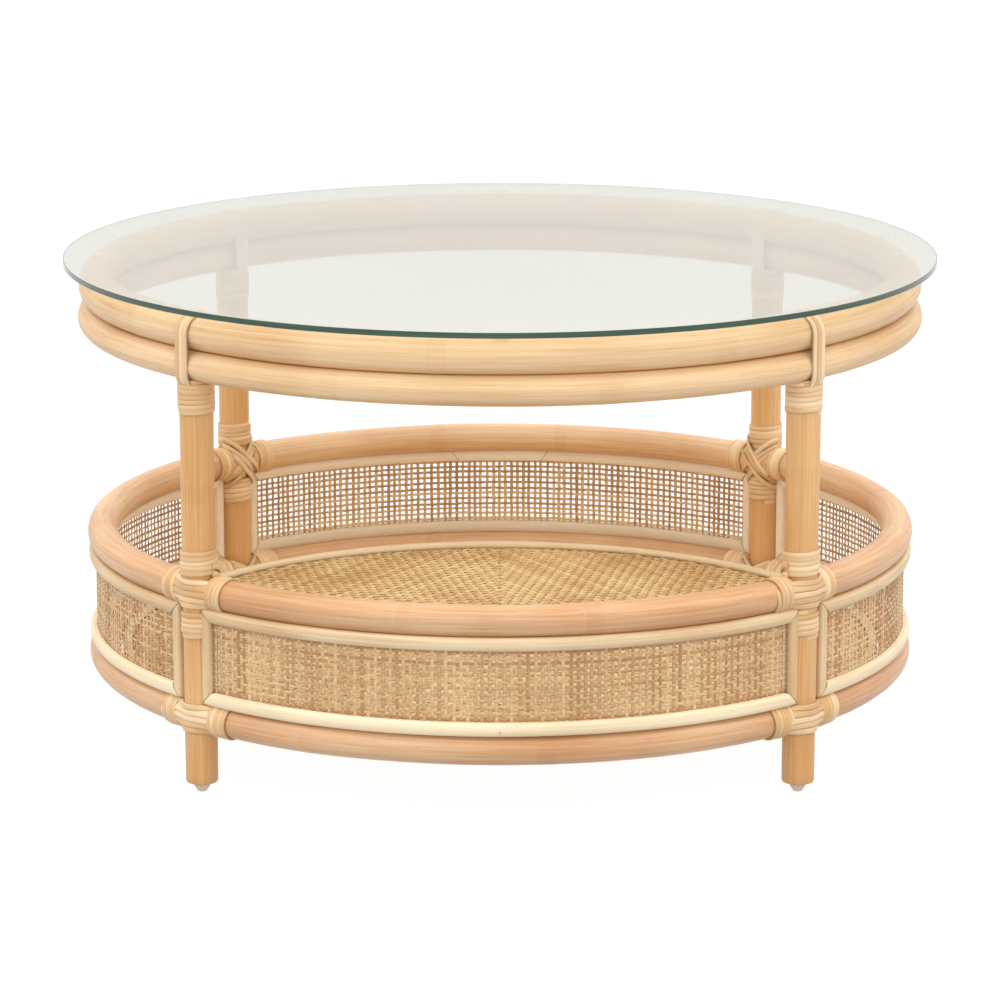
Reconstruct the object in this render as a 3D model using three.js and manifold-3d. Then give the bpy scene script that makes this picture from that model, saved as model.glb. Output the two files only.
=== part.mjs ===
// A round wicker coffee table: a glass disc on two bent rattan rings, four legs, and a woven storage basket.
// Millimetres, +Z up. The origin is on the floor under the middle of the table, and the front is -Y.
import * as THREE from "three";
import { mergeVertices } from "three/addons/utils/BufferGeometryUtils.js";
import Module from "manifold-3d";

const wasm = await Module();
wasm.setup();

// ---- Driving dimensions ----
const GAP = 0.3; // clearance between pieces that touch
const TABLE_HEIGHT = 437.5;
const MARGIN = 5; // how far a cutting tool reaches past what it cuts

const GLASS_RADIUS = 400;
const GLASS_THICKNESS = 5;

// The two bent rings under the glass. circle is the radius of the pole's centre line, pole its own radius.
const UPPER_RING = { circle: 370.7, pole: 15.3, height: 411.9 };
const LOWER_RING = { circle: 374, pole: 13.3, height: 383.2 };

const PAD_HEAD_RADIUS = 7.5;
const PAD_NECK_RADIUS = 5;
const PAD_HEAD_THICKNESS = 3;
const PAD_STEM_RADIUS = 2.5;
const PAD_STEM_DEPTH = 11;

const LEG_CIRCLE_RADIUS = 371.6; // from the table's axis to a leg's axis
const LEG_RADIUS = 14.8;
const LEG_BOTTOM = 8.5;
const LEG_TOP = 372;

const GLIDE_TOP_RADIUS = 7.2;
const GLIDE_TOP_THICKNESS = 3;
const GLIDE_FOOT_RADIUS = 4;
const GLIDE_STEM_RADIUS = 3;
const GLIDE_STEM_LENGTH = 18;

const BASKET_RADIUS = 368.5; // to the centre line of the rim and base poles
const BASKET_POLE_RADIUS = 13.9;
const POLE_END_SPACE = 6; // between the ends of two neighbouring poles, behind a leg
const RIM_HEIGHT = 182.1;
const BASE_HEIGHT = 69.1;

const PEEL = 1.5; // thickness of a layer of binding peel
const STRAP_WIDTH = 18;
const STRAP_CIRCLE = 371.4; // where the strap's middle stands, between the two rings' circles
const STRAP_HALF_SPAN = 16.4; // from there to the strap's inner faces
const TOP_WRAP_LENGTH = 33;
const RIM_WRAP = { below: 42, above: 40, along: 38 }; // reach from the joint's centre, down, up and sideways
const BASE_WRAP = { below: 15.4, above: 15.4, along: 44 };

const CANE_THICKNESS = 1.2;
const CANE_RADIUS = 374.3; // inner face of the woven panels
const BATTEN_THICKNESS = 6;
const BATTEN_WIDTH = 12;
const SIDE_BATTEN_WIDTH = 10;
const FRAME_BOTTOM = 83.4;
const FRAME_TOP = 169.2;
const OUTER_FRAME_RISE = 1.6; // how far the top batten's outer edge stands above its inner edge
const PANEL_CLEARANCE = 17.2; // from a leg's axis to the side of a panel, along the circle
const FRONT_PANEL_CLEARANCE = 11; // the same for the front and back outer frames, cut round the legs

const SHELF_RADIUS = 342.6;
const SHELF_TOP = 73.2;
const MAT_THICKNESS = 2.2;
const EDGE_CANE_RADIUS = 4.5;
const EDGE_CANE_CIRCLE = 348.4;
const EDGE_CANE_HEIGHT = 74.1;
const BOARD_RADIUS = 351.2;
const BOARD_THICKNESS = 6;
const BEARER_OFFSET = 125;
const BEARER_WIDTH = 32;
const BEARER_DEPTH = 12;

// ---- Fineness of the facets ----
const POLE_SIDES = 10;
const LEG_SIDES = 12;
const SMALL_SIDES = 12; // pads, glides and their holes
const EDGE_CANE_SIDES = 8;
const QUARTER_STEPS = 10;
const DISC_SIDES = 64;

const QUARTER = Math.PI / 2;
const SIDES = [
  ["front", -QUARTER],
  ["right", 0],
  ["back", QUARTER],
  ["left", 2 * QUARTER],
];
const CORNERS = [
  ["front_left", -1.5 * QUARTER],
  ["front_right", -0.5 * QUARTER],
  ["back_right", 0.5 * QUARTER],
  ["back_left", 1.5 * QUARTER],
];

// ---- Materials ----
function makeMaterial(color, roughness, metalness = 0, opacity = 1) {
  return new THREE.MeshStandardMaterial({ color, roughness, metalness, opacity, transparent: opacity < 1 });
}
const glassMaterial = () => makeMaterial(0xdfe8e2, 0.05, 0, 0.35);
const clearPlasticMaterial = () => makeMaterial(0xe8e8e4, 0.2, 0, 0.6);
const nylonMaterial = () => makeMaterial(0xd9d4cb, 0.5);
const topPoleMaterial = () => makeMaterial(0xe3c193, 0.55);
const basketPoleMaterial = () => makeMaterial(0xe0b487, 0.55);
const legMaterial = () => makeMaterial(0xdda868, 0.5);
const peelMaterial = () => makeMaterial(0xe8c8a0, 0.5);
const battenMaterial = () => makeMaterial(0xeadbb4, 0.6);
const caneMaterial = () => makeMaterial(0xdcb880, 0.7);
const edgeCaneMaterial = () => makeMaterial(0xe2c48c, 0.6);
const boardMaterial = () => makeMaterial(0xcfae80, 0.7);

// ---- Joins and cuts ----
function toSolid(geometry) {
  const bare = new THREE.BufferGeometry();
  const flat = geometry.index ? geometry.toNonIndexed() : geometry;
  bare.setAttribute("position", flat.getAttribute("position"));
  const merged = mergeVertices(bare, 1e-4);
  const mesh = new wasm.Mesh({
    numProp: 3,
    vertProperties: new Float32Array(merged.attributes.position.array),
    triVerts: new Uint32Array(merged.index.array),
  });
  return new wasm.Manifold(mesh);
}

function toGeometry(solid) {
  const mesh = solid.getMesh();
  const geometry = new THREE.BufferGeometry();
  geometry.setAttribute("position", new THREE.BufferAttribute(new Float32Array(mesh.vertProperties), 3));
  geometry.setIndex(new THREE.BufferAttribute(new Uint32Array(mesh.triVerts), 1));
  geometry.computeVertexNormals();
  return geometry;
}

const cut = (solid, tools) => tools.reduce((rest, tool) => rest.subtract(tool), solid);

// ---- Shapes ----
// An arc round the table's axis, from one angle to another.
class TableArc extends THREE.Curve {
  constructor(radius, height, from, to) {
    super();
    Object.assign(this, { radius, height, from, to });
  }
  getPoint(t, target = new THREE.Vector3()) {
    const angle = this.from + (this.to - this.from) * t;
    return target.set(this.radius * Math.cos(angle), this.radius * Math.sin(angle), this.height);
  }
}

// Points of a circle in a section, each [outwards, up]. The first one lies half a side off the axis.
function circlePoints(radius, sides) {
  const points = [];
  for (let i = 0; i < sides; i += 1) {
    const angle = (2 * Math.PI * (i + 0.5)) / sides;
    points.push([radius * Math.cos(angle), radius * Math.sin(angle)]);
  }
  return points;
}

// Sweeps a section along an arc. On this path an extruded shape's x points down and its y points inwards.
function sweepArc(section, radius, height, from, to, steps) {
  const shape = new THREE.Shape(section.map(([out, up]) => new THREE.Vector2(-up, -out)));
  const extrudePath = new TableArc(radius, height, from, to);
  return new THREE.ExtrudeGeometry(shape, { steps, extrudePath });
}

// A whole ring with a round section, standing around the table's axis.
function ring(radius, poleRadius, height, sides = POLE_SIDES) {
  const points = circlePoints(poleRadius, sides).map(([out, up]) => new THREE.Vector2(radius + out, up));
  points.push(points[0].clone());
  const geometry = new THREE.LatheGeometry(points, 4 * QUARTER_STEPS);
  return geometry.rotateX(QUARTER).translate(0, 0, height);
}

// A round piece about a vertical axis, from a profile of [radius, height] that starts and ends on the axis.
function turned(profile, sides) {
  const points = profile.map(([radius, height]) => new THREE.Vector2(radius, height));
  return new THREE.LatheGeometry(points, sides).rotateX(QUARTER);
}

function verticalCylinder(radius, bottom, top, sides) {
  const profile = [
    [0, bottom],
    [radius, bottom],
    [radius, top],
    [0, top],
  ];
  return turned(profile, sides);
}

// Moves a piece from the table's axis to a leg's axis, and turns it to face outwards.
function atLeg(geometry, angle) {
  return geometry.translate(LEG_CIRCLE_RADIUS, 0, 0).rotateZ(angle);
}

// The stretch of a basket ring that lies within a given width, measured along the ring, at one angle.
function stretchOfBasketRing(poleRadius, height, angle, width) {
  const block = new THREE.BoxGeometry(4 * poleRadius, width, 4 * poleRadius);
  block.translate(BASKET_RADIUS, 0, height).rotateZ(angle);
  return toSolid(ring(BASKET_RADIUS, poleRadius, height)).intersect(toSolid(block));
}

// The room that a top ring needs.
function topRingPassage({ circle, pole, height }) {
  return toSolid(ring(circle, pole + GAP, height));
}

function legPassage(angle, bottom, top) {
  return atLeg(verticalCylinder(LEG_RADIUS + GAP, bottom, top, LEG_SIDES), angle);
}

// ---- Sub-parts ----
function makeGlassTop() {
  return verticalCylinder(GLASS_RADIUS, TABLE_HEIGHT - GLASS_THICKNESS, TABLE_HEIGHT, DISC_SIDES);
}

function makeGlassPad(angle) {
  const seat = UPPER_RING.height + UPPER_RING.pole + GAP;
  const top = TABLE_HEIGHT - GLASS_THICKNESS - GAP;
  const profile = [
    [0, seat - PAD_STEM_DEPTH],
    [PAD_STEM_RADIUS, seat - PAD_STEM_DEPTH],
    [PAD_STEM_RADIUS, seat],
    [PAD_NECK_RADIUS, seat],
    [PAD_NECK_RADIUS, top - PAD_HEAD_THICKNESS],
    [PAD_HEAD_RADIUS, top - PAD_HEAD_THICKNESS],
    [PAD_HEAD_RADIUS, top],
    [0, top],
  ];
  return turned(profile, SMALL_SIDES).translate(UPPER_RING.circle, 0, 0).rotateZ(angle);
}

function makeUpperTopRing() {
  const { circle, pole, height } = UPPER_RING;
  const holes = SIDES.map(([, angle]) => {
    const floor = height + pole - PAD_STEM_DEPTH - GAP;
    const hole = verticalCylinder(PAD_STEM_RADIUS + GAP, floor, height + pole + MARGIN, SMALL_SIDES);
    return toSolid(hole.translate(circle, 0, 0).rotateZ(angle));
  });
  return toGeometry(cut(toSolid(ring(circle, pole, height)), holes));
}

function makeLowerTopRing() {
  return ring(LOWER_RING.circle, LOWER_RING.pole, LOWER_RING.height);
}

function makeLeg(angle) {
  const pole = toSolid(atLeg(verticalCylinder(LEG_RADIUS, LEG_BOTTOM, LEG_TOP, LEG_SIDES), angle));
  const stemTop = LEG_BOTTOM + GLIDE_STEM_LENGTH + GAP;
  const stemHole = atLeg(verticalCylinder(GLIDE_STEM_RADIUS + GAP, 0, stemTop, SMALL_SIDES), angle);
  return toGeometry(cut(pole, [topRingPassage(LOWER_RING), toSolid(stemHole)]));
}

function makeFootGlide(angle) {
  const top = LEG_BOTTOM - GAP;
  const profile = [
    [0, 0],
    [GLIDE_FOOT_RADIUS, 0],
    [GLIDE_TOP_RADIUS, top - GLIDE_TOP_THICKNESS],
    [GLIDE_TOP_RADIUS, top],
    [GLIDE_STEM_RADIUS, top],
    [GLIDE_STEM_RADIUS, top + GLIDE_STEM_LENGTH],
    [0, top + GLIDE_STEM_LENGTH],
  ];
  return atLeg(turned(profile, SMALL_SIDES), angle);
}

// An upside-down U of peel in the leg's own upright plane, over both rings, down to the top of the leg.
function makeTopRingStrap(angle) {
  const inner = STRAP_HALF_SPAN;
  const outer = inner + PEEL;
  const foot = LEG_TOP + GAP - UPPER_RING.height;
  const shape = new THREE.Shape();
  shape.moveTo(outer, foot);
  shape.lineTo(outer, 0);
  shape.absarc(0, 0, outer, 0, Math.PI, false);
  shape.lineTo(-outer, foot);
  shape.lineTo(-inner, foot);
  shape.lineTo(-inner, 0);
  shape.absarc(0, 0, inner, Math.PI, 0, true);
  shape.lineTo(inner, foot);
  const options = { depth: STRAP_WIDTH, bevelEnabled: false, curveSegments: 5 };
  const strap = new THREE.ExtrudeGeometry(shape, options);
  strap.translate(0, 0, -STRAP_WIDTH / 2).rotateX(QUARTER);
  strap.translate(STRAP_CIRCLE, 0, UPPER_RING.height).rotateZ(angle);
  return toGeometry(cut(toSolid(strap), [UPPER_RING, LOWER_RING].map(topRingPassage)));
}

function makeLegTopWrap(angle) {
  const bottom = LEG_TOP - TOP_WRAP_LENGTH;
  const sleeve = atLeg(verticalCylinder(LEG_RADIUS + GAP + PEEL, bottom, LEG_TOP - GAP, LEG_SIDES), angle);
  const leg = legPassage(angle, bottom - MARGIN, LEG_TOP + MARGIN);
  return toGeometry(cut(toSolid(sleeve), [toSolid(leg), topRingPassage(LOWER_RING)]));
}

// Sweeps a section over one side of the basket, and leaves a space on each side of the two legs' axes.
function sweepSide(section, angle, height, space) {
  const half = QUARTER / 2;
  const side = sweepArc(section, BASKET_RADIUS, height, angle - half, angle + half, QUARTER_STEPS);
  const ends = [angle - half, angle + half].map((corner) => {
    const block = new THREE.BoxGeometry(LEG_CIRCLE_RADIUS / 2, 2 * space, TABLE_HEIGHT);
    return toSolid(block.translate(LEG_CIRCLE_RADIUS, 0, height).rotateZ(corner));
  });
  return cut(toSolid(side), ends);
}

// One curved pole of the basket between two legs, its ends hollowed to fit round them.
function makeBasketPole(angle, height) {
  const pole = sweepSide(circlePoints(BASKET_POLE_RADIUS, POLE_SIDES), angle, height, POLE_END_SPACE / 2);
  const reach = BASKET_POLE_RADIUS + MARGIN;
  const corners = [angle - QUARTER / 2, angle + QUARTER / 2];
  const legs = corners.map((corner) => toSolid(legPassage(corner, height - reach, height + reach)));
  return toGeometry(cut(pole, legs));
}

// A sleeve on a leg joined to a sleeve on the basket's poles, both filled in and a given layer thick.
function bindingBody(angle, height, wrap, layer) {
  const upright = verticalCylinder(LEG_RADIUS + layer, height - wrap.below, height + wrap.above, LEG_SIDES);
  const sleeve = stretchOfBasketRing(BASKET_POLE_RADIUS + layer, height, angle, 2 * wrap.along);
  return toSolid(atLeg(upright, angle)).add(sleeve);
}

// The peel over a joint of a leg and two poles, in one piece.
function makeBinding(angle, height, wrap) {
  const leg = toSolid(legPassage(angle, height - wrap.below - MARGIN, height + wrap.above + MARGIN));
  const poles = toSolid(ring(BASKET_RADIUS, BASKET_POLE_RADIUS + GAP, height));
  return toGeometry(cut(bindingBody(angle, height, wrap, GAP + PEEL), [leg, poles]));
}

// The room that the rim, the base, and the legs with their bindings need round one side of the basket.
function sidePassages(angle) {
  const layer = PEEL + 2 * GAP;
  const grown = (wrap) => ({ below: wrap.below + GAP, above: wrap.above + GAP, along: wrap.along + GAP });
  const passage = (height) => toSolid(ring(BASKET_RADIUS, BASKET_POLE_RADIUS + GAP, height));
  const poles = [RIM_HEIGHT, BASE_HEIGHT].map(passage);
  const joints = [angle - QUARTER / 2, angle + QUARTER / 2].flatMap((corner) => [
    toSolid(legPassage(corner, BASE_HEIGHT, RIM_HEIGHT)),
    bindingBody(corner, RIM_HEIGHT, grown(RIM_WRAP), layer),
    bindingBody(corner, BASE_HEIGHT, grown(BASE_WRAP), layer),
  ]);
  return [...poles, ...joints];
}

// A box-shaped section between two distances from the table's axis and two heights, for sweepSide.
// rise lifts its top outer corner.
function stripSection(inside, outside, bottom, top, rise = 0) {
  return [
    [inside - BASKET_RADIUS, bottom],
    [outside - BASKET_RADIUS, bottom],
    [outside - BASKET_RADIUS, top + rise],
    [inside - BASKET_RADIUS, top],
  ];
}

// A plain woven panel, curved to the basket.
function makeCanePanel(angle) {
  const outside = CANE_RADIUS + CANE_THICKNESS;
  const section = stripSection(CANE_RADIUS, outside, FRAME_BOTTOM + GAP, FRAME_TOP - GAP);
  return toGeometry(cut(sweepSide(section, angle, 0, PANEL_CLEARANCE), sidePassages(angle)));
}

// Four battens in one mitred frame, curved to the basket.
function makeBattenFrame(angle, inside, clearance, rise) {
  const outside = inside + BATTEN_THICKNESS;
  const frame = sweepSide(stripSection(inside, outside, FRAME_BOTTOM, FRAME_TOP, rise), angle, 0, clearance);
  const windowBottom = FRAME_BOTTOM + BATTEN_WIDTH;
  const windowTop = FRAME_TOP - BATTEN_WIDTH;
  const opening = stripSection(inside - MARGIN, outside + MARGIN, windowBottom, windowTop);
  const window = sweepSide(opening, angle, 0, clearance + SIDE_BATTEN_WIDTH);
  return toGeometry(cut(frame, [window, ...sidePassages(angle)]));
}

function makeOuterFrame(angle, clearance) {
  return makeBattenFrame(angle, CANE_RADIUS + CANE_THICKNESS + GAP, clearance, OUTER_FRAME_RISE);
}

function makeInnerFrame(angle) {
  return makeBattenFrame(angle, CANE_RADIUS - GAP - BATTEN_THICKNESS, PANEL_CLEARANCE, 0);
}

function makeShelfMat() {
  return verticalCylinder(SHELF_RADIUS, SHELF_TOP - MAT_THICKNESS, SHELF_TOP, DISC_SIDES);
}

function makeShelfEdgeCane() {
  return ring(EDGE_CANE_CIRCLE, EDGE_CANE_RADIUS, EDGE_CANE_HEIGHT, EDGE_CANE_SIDES);
}

function boardTop() {
  return Math.min(SHELF_TOP - MAT_THICKNESS, EDGE_CANE_HEIGHT - EDGE_CANE_RADIUS) - GAP;
}

function makeShelfBoard() {
  return verticalCylinder(BOARD_RADIUS, boardTop() - BOARD_THICKNESS, boardTop(), DISC_SIDES);
}

// A flat slat under the board. Its ends are hollowed to butt against the base poles.
function makeShelfBearer(side) {
  const top = boardTop() - BOARD_THICKNESS - GAP;
  const slat = new THREE.BoxGeometry(2 * BASKET_RADIUS, BEARER_WIDTH, BEARER_DEPTH);
  slat.translate(0, side * BEARER_OFFSET, top - BEARER_DEPTH / 2);
  const inside = verticalCylinder(BASKET_RADIUS, 0, SHELF_TOP, 4 * QUARTER_STEPS);
  const basePoles = toSolid(ring(BASKET_RADIUS, BASKET_POLE_RADIUS + GAP, BASE_HEIGHT));
  return toGeometry(toSolid(slat).intersect(toSolid(inside)).subtract(basePoles));
}

// ---- Assembly ----
const group = new THREE.Group();

function addPiece(name, geometry, material) {
  const mesh = new THREE.Mesh(geometry, material);
  mesh.name = name;
  group.add(mesh);
}

addPiece("glass_top", makeGlassTop(), glassMaterial());
addPiece("upper_top_ring", makeUpperTopRing(), topPoleMaterial());
addPiece("lower_top_ring", makeLowerTopRing(), topPoleMaterial());

for (const [corner, angle] of CORNERS) {
  addPiece(`leg_${corner}`, makeLeg(angle), legMaterial());
  addPiece(`foot_glide_${corner}`, makeFootGlide(angle), nylonMaterial());
  addPiece(`top_ring_strap_${corner}`, makeTopRingStrap(angle), peelMaterial());
  addPiece(`leg_top_wrap_${corner}`, makeLegTopWrap(angle), peelMaterial());
  addPiece(`rim_binding_${corner}`, makeBinding(angle, RIM_HEIGHT, RIM_WRAP), peelMaterial());
  addPiece(`base_binding_${corner}`, makeBinding(angle, BASE_HEIGHT, BASE_WRAP), peelMaterial());
}

for (const [side, angle] of SIDES) {
  const clearance = side === "front" || side === "back" ? FRONT_PANEL_CLEARANCE : PANEL_CLEARANCE;
  addPiece(`glass_pad_${side}`, makeGlassPad(angle), clearPlasticMaterial());
  addPiece(`rim_pole_${side}`, makeBasketPole(angle, RIM_HEIGHT), basketPoleMaterial());
  addPiece(`base_pole_${side}`, makeBasketPole(angle, BASE_HEIGHT), basketPoleMaterial());
  addPiece(`cane_panel_${side}`, makeCanePanel(angle), caneMaterial());
  addPiece(`outer_batten_frame_${side}`, makeOuterFrame(angle, clearance), battenMaterial());
  addPiece(`inner_batten_frame_${side}`, makeInnerFrame(angle), battenMaterial());
}

addPiece("shelf_mat", makeShelfMat(), caneMaterial());
addPiece("shelf_edge_cane", makeShelfEdgeCane(), edgeCaneMaterial());
addPiece("shelf_board", makeShelfBoard(), boardMaterial());
addPiece("shelf_bearer_front", makeShelfBearer(-1), boardMaterial());
addPiece("shelf_bearer_back", makeShelfBearer(1), boardMaterial());

export default group;
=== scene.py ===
"""The looks of a round wicker coffee table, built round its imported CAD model. Metres, in the CAD's frame."""

import math

import bpy
import numpy as np
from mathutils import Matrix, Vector


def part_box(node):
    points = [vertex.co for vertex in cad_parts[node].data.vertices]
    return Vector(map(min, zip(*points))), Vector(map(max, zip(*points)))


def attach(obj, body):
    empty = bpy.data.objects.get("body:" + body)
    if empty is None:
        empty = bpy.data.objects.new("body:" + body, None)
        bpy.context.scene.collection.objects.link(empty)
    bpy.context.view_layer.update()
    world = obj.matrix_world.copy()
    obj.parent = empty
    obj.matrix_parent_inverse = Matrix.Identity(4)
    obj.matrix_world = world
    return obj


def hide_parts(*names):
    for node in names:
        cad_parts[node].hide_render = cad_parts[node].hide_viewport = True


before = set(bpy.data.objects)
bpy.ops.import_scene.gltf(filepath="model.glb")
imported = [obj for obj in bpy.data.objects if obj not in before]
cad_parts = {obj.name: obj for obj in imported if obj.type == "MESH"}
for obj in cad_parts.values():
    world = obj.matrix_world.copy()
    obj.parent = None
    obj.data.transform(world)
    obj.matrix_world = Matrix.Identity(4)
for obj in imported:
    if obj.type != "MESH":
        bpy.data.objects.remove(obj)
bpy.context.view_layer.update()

MM = 0.001
QUARTER = math.pi / 2
SIDES = {"front": -QUARTER, "right": 0.0, "back": QUARTER, "left": math.pi}
CORNERS = {"front_left": -1.5, "front_right": -0.5, "back_right": 0.5, "back_left": 1.5}
CORNERS = {corner: quarters * QUARTER for corner, quarters in CORNERS.items()}
UP = np.array([0.0, 0.0, 1.0])

# ---- Sizes that the CAD model doesn't show ----
CLEARANCE = 0.3 * MM  # between pieces that touch
POLE_FACETS = 28
POLE_STEP = 8 * MM
POLE_PRESS = 0.2 * MM  # how far bent poles swell into the clearance between them
POLE_WANDER = 0.2 * MM  # how much a pole's radius changes along it
GROWTH_BULGE = (0.012, 9 * MM)  # a growth ring's share of the pole's radius, and its reach
GROWTH_GROOVE = (0.006, 1.5 * MM)  # the groove in its middle
GROWTH_SPAN = 10 * MM  # steps are closer together this near to a growth ring
LEG_CHAMFER = 2 * MM
LEG_FOOT_SHARE = 0.955  # a leg's radius at its foot, as a share of that at its top
LEG_DARK_LENGTH = 40 * MM  # the darker foot of a leg, which fades over the next 40 mm

BAND_WIDTH = 5.2 * MM  # one turn of binding peel
BAND_THICKNESS = 1.4 * MM
BAND_PITCH = 5.35 * MM
CORNER_TO_RING_WRAP = 16 * MM  # from a leg's axis to the first turn round a basket pole
RIM_WRAP_REACH = 38 * MM  # from a leg's axis to the last turn
BASE_WRAP_REACH = 44 * MM
RIM_WRAP_HEIGHTS = ((-42 * MM, -13.5 * MM), (13.5 * MM, 40 * MM))  # round the leg, from a joint's middle
CROSSING_REACH = 19 * MM  # from a leg's axis to the ends of the strands over a joint
RIM_CROSSING = (17 * MM, 7.4 * MM)  # the rise of the slanting strands inside a joint, and their spacing
BASE_CROSSING = (9 * MM, 4 * MM)
BATTEN_THICKNESS = 6 * MM
BATTEN_WIDTH = 12 * MM
SIDE_BATTEN_WIDTH = 10 * MM
PANEL_CLEARANCE = 17.2 * MM  # from a leg's axis to the side of a batten frame, along the circle
FRONT_PANEL_CLEARANCE = 11 * MM  # the same for the front and back outer frames
MITRE_GAP = 0.25 * MM
SCARF_PLACES = (-46 * MM, 46 * MM)  # joints in the inner frames' top battens, from the middle of a side
SCARF_SLANT = 9 * MM

# Painted light and shade on the outer frames: the top batten, under the rim, is painted darker as shade, and
# the bottom one lighter as light.
BATTEN_PAINTED_LIGHT_TONES = {"top": 0.35, "bottom": 0.95, "left": 0.45, "right": 0.45}  # 0 dark to 1 light
# The inner frames: the top battens are painted lighter, painted light from above and the front; the bottom
# ones are darker.
INNER_BATTEN_PAINTED_LIGHT_TONES = {"top": 0.85, "bottom": 0.0}
# Painted light and shade on the rims: lighter towards the back and darker at the front.
RIM_PAINTED_LIGHT_TONES = {"front": 0.35, "right": 0.55, "back": 0.85, "left": 0.55}
BASE_TONE = 0.4
# Painted light and shade on the woven panels: lighter towards the back and darker at the front.
PANEL_PAINTED_LIGHT_TONES = {"front": 0.5, "right": 0.6, "back": 0.75, "left": 0.6}

UPRIGHT_WIDTH = 2.9 * MM  # the strands of the panels' open weave
LEVEL_WIDTH = 2.3 * MM
STRAND_THICKNESS = 0.8 * MM
STRAND_LIFT = 0.42 * MM
PANEL_PITCH_ALONG = 6.2 * MM
PANEL_PITCH_UP = 5.35 * MM
BROWN_STRAND_PLACE = 35 * MM  # from the end of a panel to a pair of browner strands

MAT_PITCH = 6.9 * MM
MAT_MAIN_WIDTH = 6.1 * MM
MAT_CROSS_WIDTH = 1.8 * MM
MAT_STRAND_THICKNESS = 0.9 * MM
MAT_LIFT = 0.5 * MM
MAT_BACKING = (-1.0 * MM, -0.3 * MM)  # bottom and top of the thin sheet that the weave is laid on
MAT_ANGLE = math.radians(57)  # between the main strands and the table's left-right line

GLASS_SIDES = 256
GLASS_ARRIS = 0.5 * MM
GLASS_MIRROR = 1.5  # how much more the disc mirrors than one bare surface of glass
PAD_HEAD = 7.5 * MM  # radii of the clear pads
PAD_NECK = 5 * MM
PAD_STEM = 2.5 * MM
PAD_HEAD_THICKNESS = 3 * MM
GLIDE_TOP = 7.2 * MM  # radii of the foot glides
GLIDE_FOOT = 4 * MM
GLIDE_STEM = 3 * MM
GLIDE_TOP_THICKNESS = 3 * MM

# ---- Camera ----
CAMERA_PLACE = (0.0, -3.963, 1.123)
CAMERA_TILT = math.radians(13.08)
CAMERA_LENS = 157.3
SENSOR_WIDTH = 36.0

# ---- Floor and light ----
FLOOR_REACH = 30.0
ROOM_CEILING = 1.75  # strength of the white room overhead, above the floor's level, and below it
ROOM_ABOVE = 0.95
ROOM_BELOW = 0.62


# ---- Sizes measured on the CAD nodes ----
def cad_points(node):
    """The vertices of a CAD node, one row each."""
    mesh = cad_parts[node].data
    points = np.empty(3 * len(mesh.vertices))
    mesh.vertices.foreach_get("co", points)
    return points.reshape(-1, 3)


def reach(node):
    """The largest distance of a CAD node from the table's axis."""
    points = cad_points(node)
    return np.hypot(points[:, 0], points[:, 1]).max()


def pole_sizes(node):
    """The circle that a bent pole follows, the pole's radius, and its height."""
    points = cad_points(node)
    distance = np.hypot(points[:, 0], points[:, 1])
    low, high = points[:, 2].min(), points[:, 2].max()
    return (distance.min() + distance.max()) / 2, (high - low) / 2, (high + low) / 2


def leg_sizes(node):
    """The distance of a leg's axis from the table's, the leg's radius, its bottom and its top."""
    points = cad_points(node)
    centre = (points.min(axis=0) + points.max(axis=0)) / 2
    around = np.hypot(points[:, 0] - centre[0], points[:, 1] - centre[1])
    return np.hypot(centre[0], centre[1]), around.max(), points[:, 2].min(), points[:, 2].max()


UPPER_CIRCLE, UPPER_POLE, UPPER_HEIGHT = pole_sizes("upper_top_ring")
LOWER_CIRCLE, LOWER_POLE, LOWER_HEIGHT = pole_sizes("lower_top_ring")
BASKET_CIRCLE, BASKET_POLE, RIM_HEIGHT = pole_sizes("rim_pole_front")
BASE_HEIGHT = pole_sizes("base_pole_front")[2]
LEG_CIRCLE, LEG_RADIUS, LEG_BOTTOM, LEG_TOP = leg_sizes("leg_front_left")
GLASS_RADIUS = reach("glass_top")
GLASS_BOTTOM, GLASS_TOP = (corner.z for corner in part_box("glass_top"))
PANEL_OUTSIDE = reach("cane_panel_front")
PANEL_BOTTOM, PANEL_TOP = (corner.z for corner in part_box("cane_panel_front"))


# ---- Meshes ----
def add_object(name, data):
    """A new object in the scene."""
    made = bpy.data.objects.new(name, data)
    bpy.context.scene.collection.objects.link(made)
    return made


class Skin:
    """The points and faces of one mesh. Every point has a grain (its place along and across its strand),
    a tone (0 dark to 1 light, which on some parts carries painted light and shade) and a mark (1 on a dark
    line, such as the painted shade along the edges of a band)."""

    def __init__(self):
        self.points = []
        self.faces = []
        self.grain = []
        self.tone = []
        self.mark = []
        self.slots = []
        self.count = 0

    def add(self, points, faces, grain, tone, mark=0.0, slot=0):
        """Adds points and their faces. slot is one material slot, or a list of one for each face."""
        points = np.asarray(points, float).reshape(-1, 3)
        self.points.append(points)
        self.faces += [[self.count + corner for corner in face] for face in faces]
        self.slots += slot if isinstance(slot, list) else [slot] * len(faces)
        self.grain.append(np.asarray(grain, float).reshape(-1, 3))
        self.tone.append(np.broadcast_to(tone, len(points)))
        self.mark.append(np.broadcast_to(mark, len(points)))
        self.count += len(points)

    def build(self, name, materials, replaces, body="frame", smooth=50):
        """Makes the piece. It's smooth where its faces meet at less than some degrees."""
        mesh = bpy.data.meshes.new(name)
        mesh.from_pydata(np.concatenate(self.points).tolist(), [], self.faces)
        grain = mesh.attributes.new("grain", "FLOAT_VECTOR", "POINT")
        grain.data.foreach_set("vector", np.concatenate(self.grain).ravel())
        for label, values in (("tone", self.tone), ("mark", self.mark)):
            attribute = mesh.attributes.new(label, "FLOAT", "POINT")
            attribute.data.foreach_set("value", np.concatenate(values))
        for material in materials:
            mesh.materials.append(material)
        mesh.polygons.foreach_set("material_index", self.slots)
        mesh.shade_smooth()
        mesh.set_sharp_from_angle(angle=math.radians(smooth))
        mesh.validate()
        piece = add_object(name, mesh)
        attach(piece, body)
        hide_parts(*replaces)


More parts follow.
